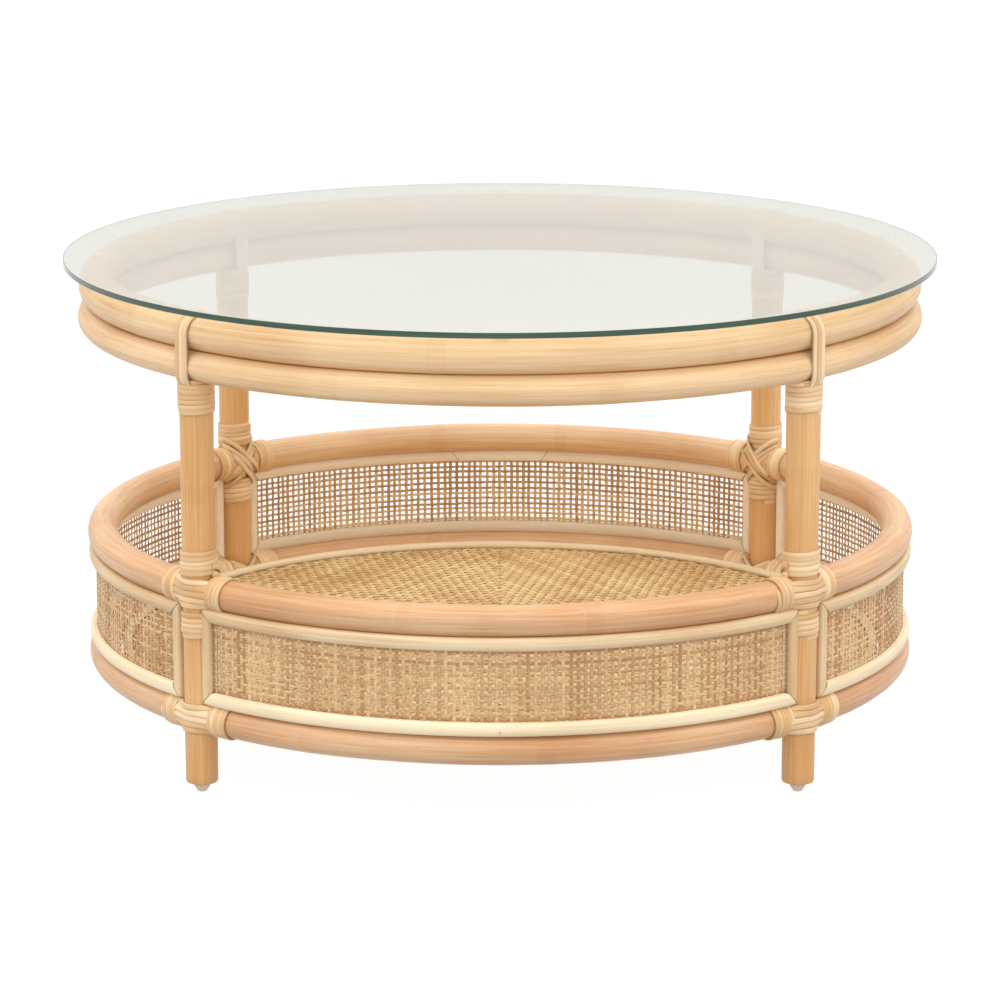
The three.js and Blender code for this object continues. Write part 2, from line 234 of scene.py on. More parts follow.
def sweep(skin, path, out, across, section, tone, mark=0.0, closed=False, slot=0):
    """Sweeps a section of [out, across] points, counter-clockwise, along a path. The section, the unit
    vectors out and across, and tone are one for all the steps or one for each. mark is one value or row."""
    path = np.asarray(path, float)
    steps = len(path)
    out = np.broadcast_to(out, path.shape)
    across = np.broadcast_to(across, path.shape)
    section = np.asarray(section, float)
    if section.ndim == 2:
        section = np.broadcast_to(section, (steps, *section.shape))
    sides = section.shape[1]
    points = path[:, None] + section[..., :1] * out[:, None] + section[..., 1:] * across[:, None]
    lengths = np.linalg.norm(np.diff(path, axis=0), axis=1)
    along = np.concatenate([[0.0], np.cumsum(lengths)])
    grain = np.dstack([np.broadcast_to(along[:, None], (steps, sides)), section])
    forwards = np.sum(np.cross(out[0], across[0]) * (path[1] - path[0])) > 0
    tone = np.repeat(tone, sides) if np.ndim(tone) else tone
    mark = np.broadcast_to(mark, (steps, sides)).ravel()
    skin.add(points, tube_faces(steps, sides, forwards, closed), grain, tone, mark, slot)


def tube_faces(steps, sides, forwards=False, closed=False):
    """The faces of a tube with flat ends, or closed into a ring. forwards is for sections that run
    counter-clockwise seen against the path's direction."""
    faces = []
    for step in range(steps if closed else steps - 1):
        here, there = step * sides, (step + 1) % steps * sides
        for side in range(sides):
            other = (side + 1) % sides
            faces.append([here + side, here + other, there + other, there + side])
    if not closed:
        faces += [list(range(sides))[::-1], list(range((steps - 1) * sides, steps * sides))]
    return faces if forwards else [face[::-1] for face in faces]


def unit(vectors):
    """The vectors, one a row, at a length of 1."""
    return vectors / np.linalg.norm(vectors, axis=1)[:, None]


def beside_path(line):
    """The unit vectors to the right of a flat path's steps."""
    slope = np.gradient(line, axis=0)
    return unit(np.column_stack([slope[:, 1], -slope[:, 0]]))


def around_table(angle):
    """Unit vectors outwards from the table's axis and along the circle, at an angle or at each of many."""
    angle = np.asarray(angle, float)
    zero = np.zeros_like(angle)
    outwards = np.stack([np.cos(angle), np.sin(angle), zero], axis=-1)
    tangent = np.stack([-np.sin(angle), np.cos(angle), zero], axis=-1)
    return outwards, tangent


def oval(depth, width, sides):
    """An oval section, as [out, across] points."""
    angles = 2 * math.pi * (np.arange(sides) + 0.5) / sides
    return np.column_stack([depth / 2 * np.cos(angles), width / 2 * np.sin(angles)])


# Painted shade along both edges and the underside of a band of peel, standing for the dark gaps between its
# turns.
BAND_EDGE_SHADE = np.array([[1.0, 0.9, 0.35, 0.0, 0.0, 0.0, 0.35, 0.9, 1.0]])


def band(width=BAND_WIDTH):
    """The section of a strip of peel, flat inside, slightly crowned outside and with rounded edges."""
    share = np.array([-0.5, -0.46, -0.38, 0.0, 0.38, 0.46, 0.5])
    crown = np.array([0.15, 0.62, 0.86, 1.0, 0.86, 0.62, 0.15])
    outer = np.column_stack([crown * BAND_THICKNESS, share * width])
    inside = -0.4 * BAND_THICKNESS
    return np.vstack([[inside, -0.5 * width], outer, [inside, 0.5 * width]])


def smooth_noise(count, knots, rng):
    """Smoothly changing random values from -1 to 1 that end where they start."""
    values = rng.uniform(-1, 1, knots)
    place = np.linspace(0, knots, count, endpoint=False)
    low = np.floor(place).astype(int) % knots
    share = place - np.floor(place)
    share = share * share * (3 - 2 * share)
    return values[low] * (1 - share) + values[(low + 1) % knots] * share


def growth(along, places, radius):
    """How a pole of rattan swells at its growth rings, and the faint darker patches there."""
    swell = np.zeros_like(along)
    patch = np.zeros_like(along)
    for number, place in enumerate(places):
        distance = along - place
        for (height, width), sign in ((GROWTH_BULGE, 1), (GROWTH_GROOVE, -1)):
            swell += sign * height * np.exp(-((distance / width) ** 2))
        width = (6 + 2 * (number % 3)) * MM
        patch += np.clip((width - np.abs(distance)) / (1.2 * MM) + 0.5, 0, 1)
    return swell * radius, patch


def refined(length, places):
    """Steps along a pole, closer together near its growth rings."""
    regular = np.arange(0, length + POLE_STEP / 2, length / max(1, round(length / POLE_STEP)))
    extra = [place + offset for place in places for offset in np.linspace(-GROWTH_SPAN, GROWTH_SPAN, 17)]
    along = np.unique(np.round(np.clip(np.concatenate([regular, extra]), 0, length), 6))
    keep = np.concatenate([[True], np.diff(along) > 0.3 * MM])
    return along[keep]


# ---- Materials ----
def srgb(red, green, blue):
    """A colour given as the screen shows it, as linear light."""
    shares = [value / 255 for value in (red, green, blue)]
    return [s / 12.92 if s <= 0.04045 else ((s + 0.055) / 1.055) ** 2.4 for s in shares] + [1.0]


class Recipe:
    """A material and short ways to add nodes to it. Most give the new node's output."""

    def __init__(self, name):
        self.material = bpy.data.materials.new(name)
        self.material.use_nodes = True
        self.tree = self.material.node_tree
        self.tree.nodes.clear()

    def node(self, kind, inputs=None, **settings):
        made = self.tree.nodes.new(kind)
        for key, value in settings.items():
            setattr(made, key, value)
        for key, value in (inputs or {}).items():
            if isinstance(value, bpy.types.NodeSocket):
                self.tree.links.new(value, made.inputs[key])
            else:
                made.inputs[key].default_value = value
        return made

    def place(self):
        return self.node("ShaderNodeTexCoord").outputs["Object"]

    def attribute(self, name, output="Fac"):
        return self.node("ShaderNodeAttribute", attribute_name=name).outputs[output]

    def stretched(self, vector, scale):
        return self.node("ShaderNodeMapping", {"Vector": vector, "Scale": scale}).outputs["Vector"]

    def noise(self, vector, scale, detail=3.0, roughness=0.55):
        inputs = {"Vector": vector, "Scale": scale, "Detail": detail, "Roughness": roughness}
        return self.node("ShaderNodeTexNoise", inputs).outputs["Fac"]

    def spread(self, value, low, high, to_low=0.0, to_high=1.0):
        inputs = {"Value": value, "From Min": low, "From Max": high, "To Min": to_low, "To Max": to_high}
        return self.node("ShaderNodeMapRange", inputs).outputs["Result"]

    def times(self, one, other):
        return self.node("ShaderNodeMath", {0: one, 1: other}, operation="MULTIPLY").outputs[0]

    def plus(self, one, other, use_clamp=False):
        made = self.node("ShaderNodeMath", {0: one, 1: other}, operation="ADD", use_clamp=use_clamp)
        return made.outputs[0]

    def blend(self, share, first, second, kind="MIX"):
        mixer = self.node("ShaderNodeMix", data_type="RGBA", blend_type=kind)
        for socket, value in (("Factor_Float", share), ("A_Color", first), ("B_Color", second)):
            target = next(s for s in mixer.inputs if s.identifier == socket)
            if isinstance(value, bpy.types.NodeSocket):
                self.tree.links.new(value, target)
            else:
                target.default_value = value
        return next(s for s in mixer.outputs if s.identifier == "Result_Color")

    def mix(self, share, first, second):
        return self.node("ShaderNodeMixShader", {0: share, 1: first, 2: second}).outputs[0]

    def bump(self, height, strength, distance):
        inputs = {"Height": height, "Strength": strength, "Distance": distance}
        return self.node("ShaderNodeBump", inputs).outputs["Normal"]

    def principled(self, **values):
        inputs = {key.replace("_", " "): value for key, value in values.items()}
        return self.node("ShaderNodeBsdfPrincipled", inputs).outputs["BSDF"]

    def surface(self, shader):
        self.node("ShaderNodeOutputMaterial", {"Surface": shader})
        return self.material


def rattan(name, light, dark, contrast=0.5, gloss=0.45, coat=0.15, patch=5.0):
    """Cane, peel and wood: fine fibres along each strand, soft patches, the strand's tone, faint marks."""
    recipe = Recipe(name)
    grain = recipe.attribute("grain", "Vector")
    fibres = recipe.noise(recipe.stretched(grain, (14.0, 900.0, 900.0)), 1.0, 4.0, 0.6)
    threads = recipe.noise(recipe.stretched(grain, (5.0, 260.0, 260.0)), 1.0, 2.0)
    flecks = recipe.noise(recipe.stretched(grain, (60.0, 500.0, 500.0)), 1.0, 2.0)
    patches = recipe.noise(recipe.place(), patch, 2.0)
    share = recipe.times(recipe.spread(fibres, 0.35, 0.7), 0.4)
    layers = ((threads, 0.35, 0.7, 0.3), (flecks, 0.62, 0.75, 0.2), (patches, 0.4, 0.65, 0.35))
    for layer, low, high, weight in layers:
        share = recipe.plus(share, recipe.times(recipe.spread(layer, low, high), weight))
    tone = recipe.spread(recipe.attribute("tone"), 0.0, 1.0, 1.2 * contrast, -0.72 * contrast)
    share = recipe.plus(share, tone, use_clamp=True)
    colour = recipe.blend(share, light, dark)
    # mark darkens towards a deep brown: nail heads, dark joints, and the painted shade along the edges of
    # bands.
    deep = [value * 0.28 for value in dark[:3]] + [1.0]
    colour = recipe.blend(recipe.times(recipe.attribute("mark"), 0.6), colour, deep)
    rough = recipe.spread(fibres, 0.3, 0.7, gloss - 0.08, gloss + 0.12)
    finish = {"Normal": recipe.bump(fibres, 0.35, 0.0003), "Coat_Weight": coat, "Coat_Roughness": 0.3}
    return recipe.surface(recipe.principled(Base_Color=colour, Roughness=rough, **finish))


def plywood(name, light, dark):
    """A pale veneered board with a flowing grain."""
    recipe = Recipe(name)
    place = recipe.place()
    waves = recipe.noise(recipe.stretched(place, (2.0, 26.0, 26.0)), 1.6, 4.0)
    pores = recipe.noise(recipe.stretched(place, (30.0, 700.0, 700.0)), 1.0)
    share = recipe.blend(0.35, waves, pores)
    colour = recipe.blend(recipe.spread(share, 0.35, 0.65), light, dark)
    shader = recipe.principled(Base_Color=colour, Roughness=0.6, Normal=recipe.bump(pores, 0.2, 0.0002))
    return recipe.surface(shader)


def lit_through(recipe, shader, colour):
    """Finishes a glass material that lets the light's shadow rays pass."""
    shadow = recipe.node("ShaderNodeLightPath").outputs["Is Shadow Ray"]
    open_way = recipe.node("ShaderNodeBsdfTransparent", {"Color": colour}).outputs[0]
    return recipe.surface(recipe.mix(shadow, shader, open_way))


def clear_glass(name):
    """Glass that bends what is seen through it, and mirrors the bright room at a low angle."""
    recipe = Recipe(name)
    share = recipe.times(recipe.node("ShaderNodeFresnel", {"IOR": 1.5}).outputs[0], GLASS_MIRROR)
    smears = recipe.noise(recipe.place(), 3.0)
    tint = recipe.blend(recipe.spread(smears, 0.3, 0.7), srgb(250, 250, 246), srgb(253, 253, 250))
    bent = recipe.node("ShaderNodeBsdfRefraction", {"Color": tint, "Roughness": 0.0, "IOR": 1.5}).outputs[0]
    mirror = recipe.node("ShaderNodeBsdfGlossy", {"Color": srgb(245, 245, 240), "Roughness": 0.0}).outputs[0]
    return lit_through(recipe, recipe.mix(share, bent, mirror), srgb(250, 250, 247))


def glass_edge(name, light, dark):
    """The ground rim of the disc, where the glass is seen through its whole width."""
    recipe = Recipe(name)
    streaks = recipe.noise(recipe.stretched(recipe.place(), (9.0, 9.0, 500.0)), 1.0)
    colour = recipe.blend(recipe.spread(streaks, 0.35, 0.65), light, dark)
    solid = recipe.principled(Base_Color=colour, Roughness=0.12, Coat_Weight=0.3)
    return lit_through(recipe, solid, srgb(236, 246, 238))


def plastic(name, colour, see_through):
    """Moulded plastic with a faint unevenness. A see-through share lets the light behind it pass."""
    recipe = Recipe(name)
    ripples = recipe.noise(recipe.place(), 220.0)
    darker = [0.8 * value for value in colour[:3]] + [1.0]
    shade = recipe.blend(recipe.spread(ripples, 0.3, 0.7, 0.0, 0.25), colour, darker)
    solid = recipe.principled(Base_Color=shade, Roughness=0.3, Normal=recipe.bump(ripples, 0.1, 0.0002))
    clear = recipe.node("ShaderNodeBsdfTransparent", {"Color": srgb(250, 250, 248)}).outputs[0]
    return recipe.surface(recipe.mix(1 - see_through, clear, solid))


TOP_POLE_LOOK = rattan("rattan_top_rings", srgb(242, 212, 170), srgb(210, 164, 110))
BASKET_POLE_LOOK = rattan("rattan_basket_poles", srgb(232, 196, 154), srgb(194, 138, 88), coat=0.3)
LEG_LOOK = rattan("rattan_legs", srgb(236, 192, 134), srgb(204, 148, 84))
PEEL_LOOK = rattan("binding_peel", srgb(240, 210, 168), srgb(208, 162, 106), contrast=0.7)
BATTEN_LOOK = rattan("pale_battens", srgb(242, 224, 188), srgb(204, 166, 116))
# A paler copy of the batten rattan for the inner frames: painted light for the light that reaches the basket's
# inside.
INNER_BATTEN_PAINTED_LIGHT_LOOK = rattan("inner_battens_painted_lighter", srgb(252, 242, 222), srgb(236, 214, 182))
CANE_LOOK = rattan("woven_cane", srgb(220, 186, 138), srgb(174, 128, 80), contrast=0.8, coat=0.05, patch=14.0)
MAT_LOOK = rattan("woven_mat", srgb(228, 198, 144), srgb(186, 140, 82), contrast=0.9, coat=0.05, patch=12.0)
EDGE_CANE_LOOK = rattan("edge_cane", srgb(246, 230, 196), srgb(228, 198, 152))
BOARD_LOOK = plywood("plywood", srgb(214, 172, 118), srgb(184, 138, 86))
GLASS_LOOK = clear_glass("clear_glass")
GLASS_EDGE_LOOK = glass_edge("glass_edge_outside", srgb(48, 80, 62), srgb(32, 62, 46))
GLASS_LINING_LOOK = glass_edge("glass_edge_inside", srgb(226, 232, 226), srgb(206, 216, 208))
PAD_LOOK = plastic("clear_pad", srgb(250, 250, 248), 0.75)
GLIDE_LOOK = plastic("nylon_glide", srgb(214, 196, 170), 0.0)


# ---- Glass, pads and glides ----
def lathe(skin, profile, centre, sides, slots=None):
    """Turns a profile of [radius, height] round a vertical axis. It starts and ends on the axis. slots holds
    the material slot of each band between two of its other points."""
    inner = np.asarray(profile[1:-1], float)
    outwards = around_table(2 * math.pi * np.arange(sides) / sides)[0]
    rings = (outwards * inner[:, None, :1] + UP * inner[:, None, 1:]).reshape(-1, 3)
    points = np.vstack([rings, [0, 0, profile[0][1]], [0, 0, profile[-1][1]]]) + [*centre, 0.0]
    first, last = len(rings), len(rings) + 1
    faces = tube_faces(len(inner), sides, forwards=True)[:-2]
    slots = slots or [0] * (len(inner) - 1)
    face_slots = [slot for slot in slots for _ in range(sides)] + [0] * (2 * sides)
    top = (len(inner) - 1) * sides
    faces += [[first, (side + 1) % sides, side] for side in range(sides)]
    faces += [[last, top + side, top + (side + 1) % sides] for side in range(sides)]
    skin.add(points, faces, points, 0.5, slot=face_slots)


def rounded(corners, radius, steps=4):
    """Rounds the corners of an open profile, apart from its ends."""
    corners = np.asarray(corners, float)
    made = [corners[0]]
    for before, here, after in zip(corners[:-2], corners[1:-1], corners[2:]):
        back, ahead = before - here, after - here
        cut = min(radius, np.linalg.norm(back) / 2.2, np.linalg.norm(ahead) / 2.2)
        start = here + back / np.linalg.norm(back) * cut
        end = here + ahead / np.linalg.norm(ahead) * cut
        for share in np.linspace(0, 1, steps + 1):
            made.append((1 - share) ** 2 * start + 2 * share * (1 - share) * here + share**2 * end)
    made.append(corners[-1])
    return made


def make_glass():
    """The disc with its dark outer edge, and inside it a thin ring that shows the edge's light inner side."""
    skin = Skin()
    profile = [[0, GLASS_BOTTOM], [GLASS_RADIUS, GLASS_BOTTOM], [GLASS_RADIUS, GLASS_TOP], [0, GLASS_TOP]]
    outline = rounded(profile, GLASS_ARRIS)
    slots = [1 if after[1] > before[1] else 0 for before, after in zip(outline[1:-2], outline[2:-1])]
    lathe(skin, outline, (0, 0), GLASS_SIDES, slots)
    outwards = around_table(np.linspace(0, 2 * math.pi, GLASS_SIDES, endpoint=False))[0]
    path = outwards * (GLASS_RADIUS - 0.7 * MM) + UP * (GLASS_BOTTOM + GLASS_TOP) / 2
    lining = oval(0.3 * MM, GLASS_TOP - GLASS_BOTTOM - 0.3 * MM, 8)
    sweep(skin, path, outwards, UP, lining, 0.5, closed=True, slot=2)
    looks = [GLASS_LOOK, GLASS_EDGE_LOOK, GLASS_LINING_LOOK]
    skin.build("glass_disc", looks, ["glass_top"], body="glass", smooth=3)


def make_pads():
    """The clear pads between the glass and the upper ring, with a stem in the ring."""
    neck_bottom = UPPER_HEIGHT + UPPER_POLE + CLEARANCE
    for side, angle in SIDES.items():
        node = f"glass_pad_{side}"
        low, high = (point.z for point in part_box(node))
        head = high - PAD_HEAD_THICKNESS
        outline = [[0, low], [PAD_STEM, low], [PAD_STEM, neck_bottom], [PAD_NECK, neck_bottom]]
        outline += [[PAD_NECK, head], [PAD_HEAD, head], [PAD_HEAD, high], [0, high]]
        skin = Skin()
        lathe(skin, rounded(outline, 0.8 * MM), around_table(angle)[0][:2] * UPPER_CIRCLE, 32)
        skin.build(f"clear_pad_{side}", [PAD_LOOK], [node])


def make_glides():
    """The nylon glides under the legs, with a stem in the leg."""
    top = LEG_BOTTOM - CLEARANCE
    for corner, angle in CORNERS.items():
        node = f"foot_glide_{corner}"
        stem_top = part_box(node)[1].z
        outline = [[0, 0], [GLIDE_FOOT, 0], [GLIDE_TOP, top - GLIDE_TOP_THICKNESS], [GLIDE_TOP, top]]
        outline += [[GLIDE_STEM, top], [GLIDE_STEM, stem_top], [0, stem_top]]
        skin = Skin()
        lathe(skin, rounded(outline, 1.2 * MM), around_table(angle)[0][:2] * LEG_CIRCLE, 32)
        skin.build(f"nylon_glide_{corner}", [GLIDE_LOOK], [node])


# ---- Poles ----
def pole_section(length, along, places, pole, seed, knots):
    """The sections along a pole that swells at its growth rings and wanders a little, and its tones."""
    swell, patch = growth(along, places, pole)
    noise = smooth_noise(400, knots, np.random.default_rng(seed))
    wander = np.interp(along, np.linspace(0, length, 400), noise)
    radius = pole + POLE_PRESS + swell + POLE_WANDER * wander
    return oval(2, 2, POLE_FACETS)[None] * radius[:, None, None], 0.5 - 0.08 * patch


def make_top_ring(name, node, places, seed):
    """A pole bent into a full ring, with growth rings at the given degrees."""
    circle, pole, height = pole_sizes(node)
    length = 2 * math.pi * circle
    spots = [math.radians(place) * circle for place in places]
    along = refined(length, spots)[:-1]
    outwards = around_table(along / circle)[0]
    section, tones = pole_section(length, along, spots, pole, seed, 22)
    skin = Skin()
    sweep(skin, outwards * circle + UP * height, outwards, UP, section, tones, closed=True)
    skin.build(name, [TOP_POLE_LOOK], [node])


def make_basket_pole(name, node, angle, height, places, tone, seed):
    """A bent pole between two legs. Its ends are hollowed to fit round them."""
    length = QUARTER * BASKET_CIRCLE
    along = refined(length, places)
    section, tones = pole_section(length, along, places, BASKET_POLE, seed, 9)
    # tone is the pole's side tone; on the rims it is painted light and shade, lighter towards the back.
    tones = tones + tone - 0.5
    leg = LEG_RADIUS + 0.2 * MM
    off_axis = np.clip(np.abs(BASKET_CIRCLE + section[..., 0] - LEG_CIRCLE), 0, leg)
    end_space = np.maximum(3 * MM, np.sqrt(leg**2 - off_axis**2))
    share = (along / length * 2 - 1)[:, None]
    turn = angle + share * (length / 2 - end_space) / BASKET_CIRCLE
    radius = BASKET_CIRCLE + section[..., :1]
    skin = Skin()
    points = around_table(turn)[0] * radius + UP * (height + section[..., 1:])
    grain = np.dstack([np.broadcast_to(along[:, None], section.shape[:2]), section])
    skin.add(points, tube_faces(len(along), POLE_FACETS), grain, np.repeat(tones, POLE_FACETS))
    skin.build(name, [BASKET_POLE_LOOK], [node])


def make_leg(corner, angle, places, seed):
    """A straight pole, a little thinner at its foot. Its top is hollowed to fit under the lower ring."""
    outwards, tangent = around_table(angle)
    length = LEG_TOP - LEG_BOTTOM
    along = refined(length, places)
    along = np.concatenate([[0, 0.3 * LEG_CHAMFER, LEG_CHAMFER], along[along > 1.5 * LEG_CHAMFER]])
    section, tones = pole_section(length, along, places, LEG_RADIUS, seed, 6)
    tones = tones - 0.25 * np.clip(2 - along / LEG_DARK_LENGTH, 0, 1)
    taper = np.interp(along / length, [0, 1], [LEG_FOOT_SHARE, 1.0])
    taper[:2] -= np.array([LEG_CHAMFER, 0.35 * LEG_CHAMFER]) / LEG_RADIUS
    section = section * taper[:, None, None]
    beside = np.abs(LEG_CIRCLE + section[-1, :, 0] - LOWER_CIRCLE)
    ring = LOWER_POLE + CLEARANCE
    hollow = LOWER_HEIGHT - np.sqrt(np.maximum(ring**2 - np.minimum(beside, ring) ** 2, 0))
    skin = Skin()
    path = outwards * LEG_CIRCLE + UP * (LEG_BOTTOM + along[:, None])
    sweep(skin, path, outwards, tangent, section, tones)
    skin.points[0][-POLE_FACETS:, 2] = np.minimum(LEG_TOP, hollow)
    skin.build(f"leg_pole_{corner}", [LEG_LOOK], [f"leg_{corner}"])


# ---- Peel ----
def coil(skin, pole_at, length, radius, rng):
    """Winds one band of peel over a length of a pole. pole_at(distance) gives the pole's middle there, and
    two unit vectors across the pole."""
    turns = max(1, round(length / BAND_PITCH))
    pitch = (length - BAND_WIDTH) / turns
    steps = turns * 30 + 1
    turn = np.linspace(0, 2 * math.pi * turns, steps) + rng.uniform(0, 2 * math.pi)
    distance = (turn - turn[0]) / (2 * math.pi) * pitch + BAND_WIDTH / 2
    lean = np.interp(turn, np.linspace(turn[0], turn[-1], 12), rng.uniform(-1, 1, 12)) * 0.3 * MM
    middle = pole_at(distance + lean)[0]
    side, rise = pole_at(distance)[1:]
    out = np.cos(turn)[:, None] * side + np.sin(turn)[:, None] * rise
    tuck = np.clip(1 - np.minimum(np.arange(steps), np.arange(steps)[::-1]) / 8, 0, 1)
    swell = np.interp(turn, np.linspace(turn[0], turn[-1], 17), rng.uniform(0, 1, 17)) * 0.4 * MM
    path = middle + out * (radius - tuck * 1.2 * BAND_THICKNESS + swell)[:, None]
    tone = np.interp(turn, np.linspace(turn[0], turn[-1], turns + 2), rng.uniform(0.2, 1.0, turns + 2))
    sweep(skin, path, out, np.cross(side, rise), band(), tone, BAND_EDGE_SHADE)


def wind_leg(skin, angle, low, high, rng):
    """Peel wound round a leg between two heights."""
    outwards, tangent = around_table(angle)

    def leg_at(distance):
        return outwards * LEG_CIRCLE + UP * (low + distance[:, None]), outwards, tangent

    coil(skin, leg_at, high - low, LEG_RADIUS, rng)


def wind_basket_pole(skin, height, start, end, rng):
    """Peel wound round a basket pole between two angles."""

    def pole_at(distance):
        outwards = around_table(start + np.sign(end - start) * distance / BASKET_CIRCLE)[0]
        return outwards * BASKET_CIRCLE + UP * height, outwards, UP

    coil(skin, pole_at, abs(end - start) * BASKET_CIRCLE, BASKET_POLE + 0.8 * MM, rng)


def make_strap(corner, angle, seed):
    """Three bands side by side, over both top rings, with their feet under the leg's wrap."""
    rng = np.random.default_rng(seed)
    outwards, tangent = around_table(angle)
    centre = (UPPER_CIRCLE + LOWER_CIRCLE) / 2
    skin = Skin()
    for place in (-1, 0, 1):
        radius = (LOWER_CIRCLE - centre) + LOWER_POLE + (0.25 + 0.25 * rng.uniform()) * MM
        arc = np.linspace(0, math.pi, 25)
        foot = LEG_TOP - 10 * MM
        inset = [3.6, 3.5, 2.4, 0.9, 0.0]
        rise = [[radius - pull * MM, foot + step * 3.5 * MM] for step, pull in enumerate(inset)]
        rise += [[radius, height] for height in np.linspace(foot + 22 * MM, UPPER_HEIGHT, 5)[:-1]]
        rise = np.array(rise)
        over = np.column_stack([radius * np.cos(arc), UPPER_HEIGHT + radius * np.sin(arc)])
        flat = np.vstack([rise, over, rise[::-1] * [-1, 1]])
        normal = beside_path(flat)
        beside = place * (BAND_WIDTH + 0.15 * MM) + rng.uniform(-0.2, 0.2) * MM
        beside = beside * (1 - 0.08 * np.sin(np.linspace(0, math.pi, len(flat))))
        path = outwards * (centre + flat[:, :1]) + UP * flat[:, 1:] + tangent * beside[:, None]
        out = outwards * normal[:, :1] + UP * normal[:, 1:]
        tone = rng.uniform(0.35, 1.0)
        sweep(skin, path, out, tangent, band(BAND_WIDTH + 0.3 * MM), tone, BAND_EDGE_SHADE)
    skin.build(f"ring_strap_{corner}", [PEEL_LOOK], [f"top_ring_strap_{corner}"])


def make_leg_top_wrap(corner, angle, seed):
    """The peel wound round the top of a leg, over the feet of its strap."""
    skin = Skin()
    low, high = (point.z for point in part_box(f"leg_top_wrap_{corner}"))
    wind_leg(skin, angle, low, min(high, LOWER_HEIGHT - LOWER_POLE + 1.5 * MM), np.random.default_rng(seed))
    skin.build(f"leg_wrap_{corner}", [PEEL_LOOK], [f"leg_top_wrap_{corner}"])


def outer_strand(skin, angle, height, lift, layer, rng):
    """One level band over the outer side of a leg, from one basket pole to the other. lift is its height
    over the poles' middle, and layer its depth under the outermost bands."""
    outwards, tangent = around_table(angle)
    surface = LEG_RADIUS + 0.3 * MM - layer
    end_lift = float(np.clip(lift, -12.5 * MM, 12.5 * MM))
    away = BASKET_CIRCLE - LEG_CIRCLE + math.sqrt(BASKET_POLE**2 - end_lift**2) + 0.5 * MM - layer
    to_end = math.hypot(CROSSING_REACH, away)
    bend = math.atan2(CROSSING_REACH, away) - math.acos(min(1.0, surface / to_end))
    arc = np.linspace(-bend, bend, 17)
    tail = CROSSING_REACH + 6 * MM
    line = [[-tail, away - 1.2 * MM], [-CROSSING_REACH, away]]
    line += np.column_stack([np.sin(arc) * surface, np.cos(arc) * surface]).tolist()
    line = np.array(line + [[CROSSING_REACH, away], [tail, away - 1.2 * MM]])
    fine = np.linspace(0, len(line) - 1, 3 * len(line))
    line = np.column_stack([np.interp(fine, range(len(line)), column) for column in line.T])
    share = np.clip(np.abs(line[:, 0]) / CROSSING_REACH, 0, 1)
    rise = lift + (end_lift - lift) * share
    path = outwards * (LEG_CIRCLE + line[:, 1:]) + tangent * line[:, :1] + UP * (height + rise[:, None])
    normal = -beside_path(line)
    tilt = share**2 * rise / BASKET_POLE
    out = outwards * normal[:, 1:] + tangent * normal[:, :1]
    out = out * np.sqrt(1 - tilt**2)[:, None] + UP * tilt[:, None]
    lay_band(skin, path, out, rng)


def inner_strand(skin, angle, height, slant, shift, layer, rng):
    """One slanting band over the inner side of a leg. slant is its fall to the side, shift its height on
    the leg's axis, and layer how far it lies over the leg."""
    outwards, tangent = around_table(angle)
    surface = LEG_RADIUS + 1.7 * MM
    turn = np.linspace(-0.5 * math.pi, 0.5 * math.pi, 41)
    rise = shift - slant * np.sin(turn)
    on_leg = LEG_CIRCLE - surface * np.cos(turn)
    on_pole = BASKET_CIRCLE - np.sqrt(np.maximum((BASKET_POLE + 0.5 * MM) ** 2 - rise**2, 0))
    radius = np.where(np.abs(rise) < BASKET_POLE, np.minimum(on_leg, on_pole), on_leg) - layer
    radius[1:-1] = (radius[:-2] + 2 * radius[1:-1] + radius[2:]) / 4
    beside = surface * np.sin(turn)
    path = outwards * radius[:, None] + tangent * beside[:, None] + UP * (height + rise[:, None])
    out = -outwards * np.cos(0.7 * turn)[:, None] + tangent * np.sin(0.7 * turn)[:, None]
    lay_band(skin, path, out, rng)


def lay_band(skin, path, out, rng):
    """A band of peel along a path, with its crown turned outwards."""
    across = unit(np.cross(out, np.gradient(path, axis=0)))
    sweep(skin, path, out, across, band(), rng.uniform(0.3, 1.0), BAND_EDGE_SHADE)


def make_binding(name, node, angle, height, along, wraps, crossing, seed):
    """The peel over a joint of a leg and two basket poles. along is the reach of its wraps round the poles,
    wraps the heights of those round the leg, and crossing the rise and spacing of the inner strands."""
    rng = np.random.default_rng(seed)
    skin = Skin()
    for low, high in wraps:
        wind_leg(skin, angle, height + low, height + high, rng)
    for sense in (-1, 1):
        start = angle + sense * CORNER_TO_RING_WRAP / BASKET_CIRCLE
        end = angle + sense * (along + rng.uniform(-2, 2) * MM) / BASKET_CIRCLE
        wind_basket_pole(skin, height, start, end, rng)
    for row in range(-2, 3):
        lift = row * 1.02 * BAND_WIDTH
        outer_strand(skin, angle, height, lift + rng.uniform(-0.3, 0.3) * MM, 0, rng)
    for row in (-1.5, -0.5, 0.5, 1.5):
        outer_strand(skin, angle, height, row * BAND_WIDTH, 0.9 * MM, rng)
    slant, space = crossing
    for sense, layer in ((1, 0), (-1, 1.2 * MM)):
        for shift in (-space, 0, space):
            place = shift + rng.uniform(-0.4, 0.4) * MM
            inner_strand(skin, angle, height, sense * slant, place, layer, rng)
    skin.build(name, [PEEL_LOOK], [node])


